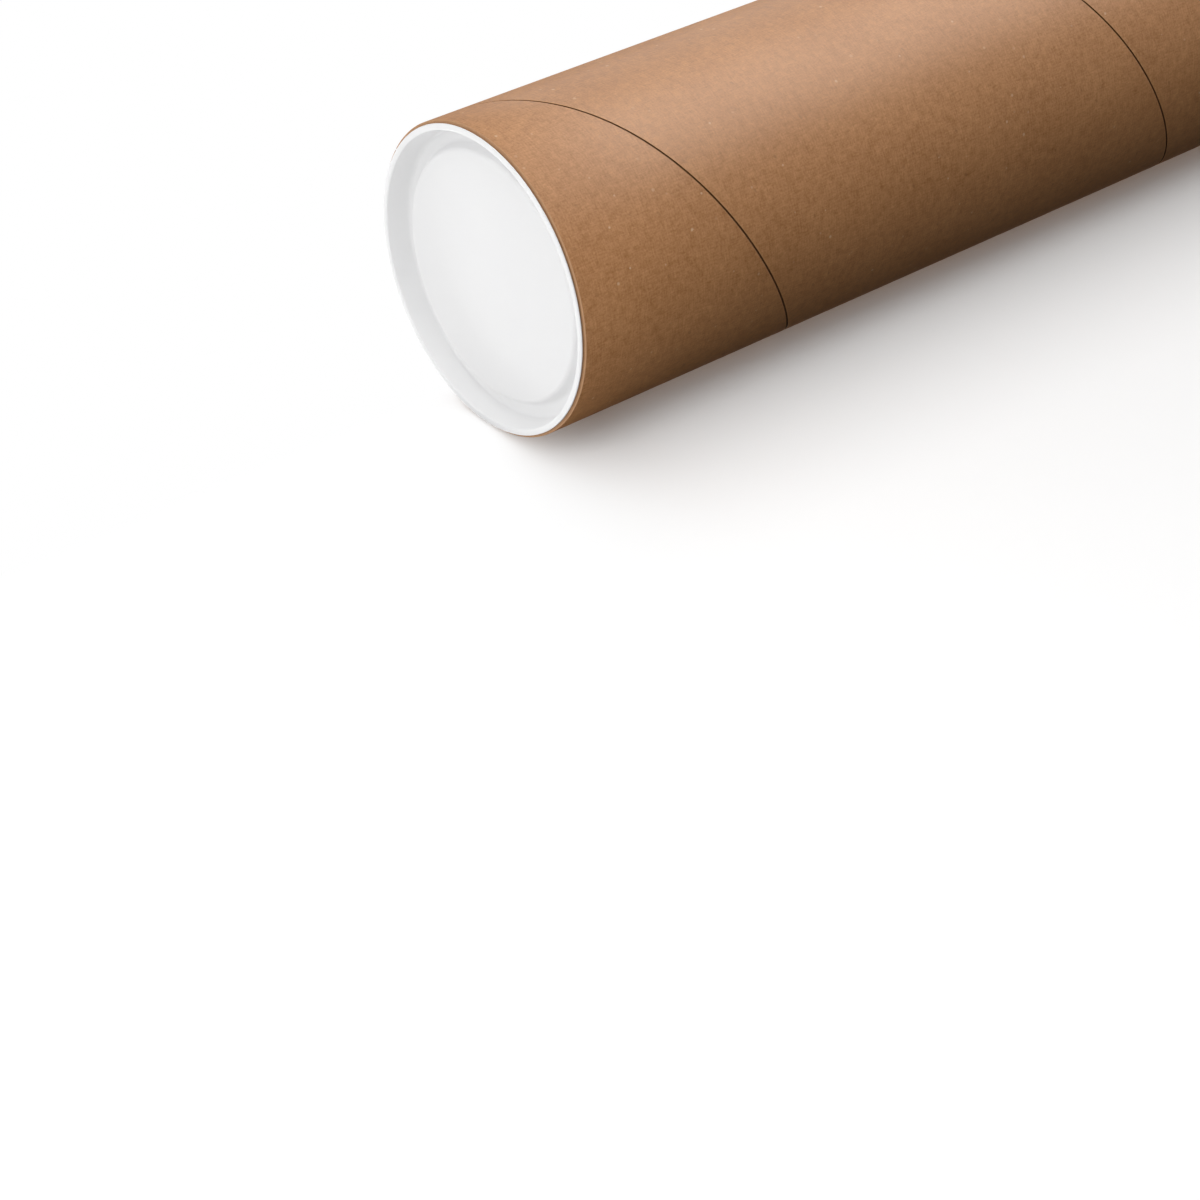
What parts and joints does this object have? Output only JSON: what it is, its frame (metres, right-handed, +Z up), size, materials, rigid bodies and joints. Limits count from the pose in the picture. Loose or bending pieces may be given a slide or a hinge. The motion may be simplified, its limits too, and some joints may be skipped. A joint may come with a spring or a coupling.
{
  "type": "cardboard mailing tube",
  "caption": "Spirally wound kraft paper tube closed at each end by a push-in white plastic cap with a recessed face, for posting rolled prints and drawings.",
  "frame": {"origin": "centre of the bottom cap's rim face, on which the tube stands on end", "axes": "+Z up along the tube's axis to the top cap; X and Y are square to it, and the seam meets the top end 31.5 degrees from +X towards -Y"},
  "size_m": [0.0792, 0.0792, 0.6112],
  "materials": {
    "kraft_paper": "smooth unbleached kraft with fine fibres, flecks and a soft sheen",
    "white_plastic": "white moulded polyethylene, satin"
  },
  "bodies": {
    "tube": {"tube": "kraft_paper"},
    "top_cap": {"top_cap": "white_plastic"},
    "bottom_cap": {"bottom_cap": "white_plastic"}
  },
  "joints": [
    {"name": "top_cap_pull", "type": "slide", "parent": "tube", "child": "top_cap", "axis": [0, 0, 1], "range_m": [0, 0.08]},
    {"name": "bottom_cap_pull", "type": "slide", "parent": "tube", "child": "bottom_cap", "axis": [0, 0, -1], "range_m": [0, 0.08]}
  ]
}
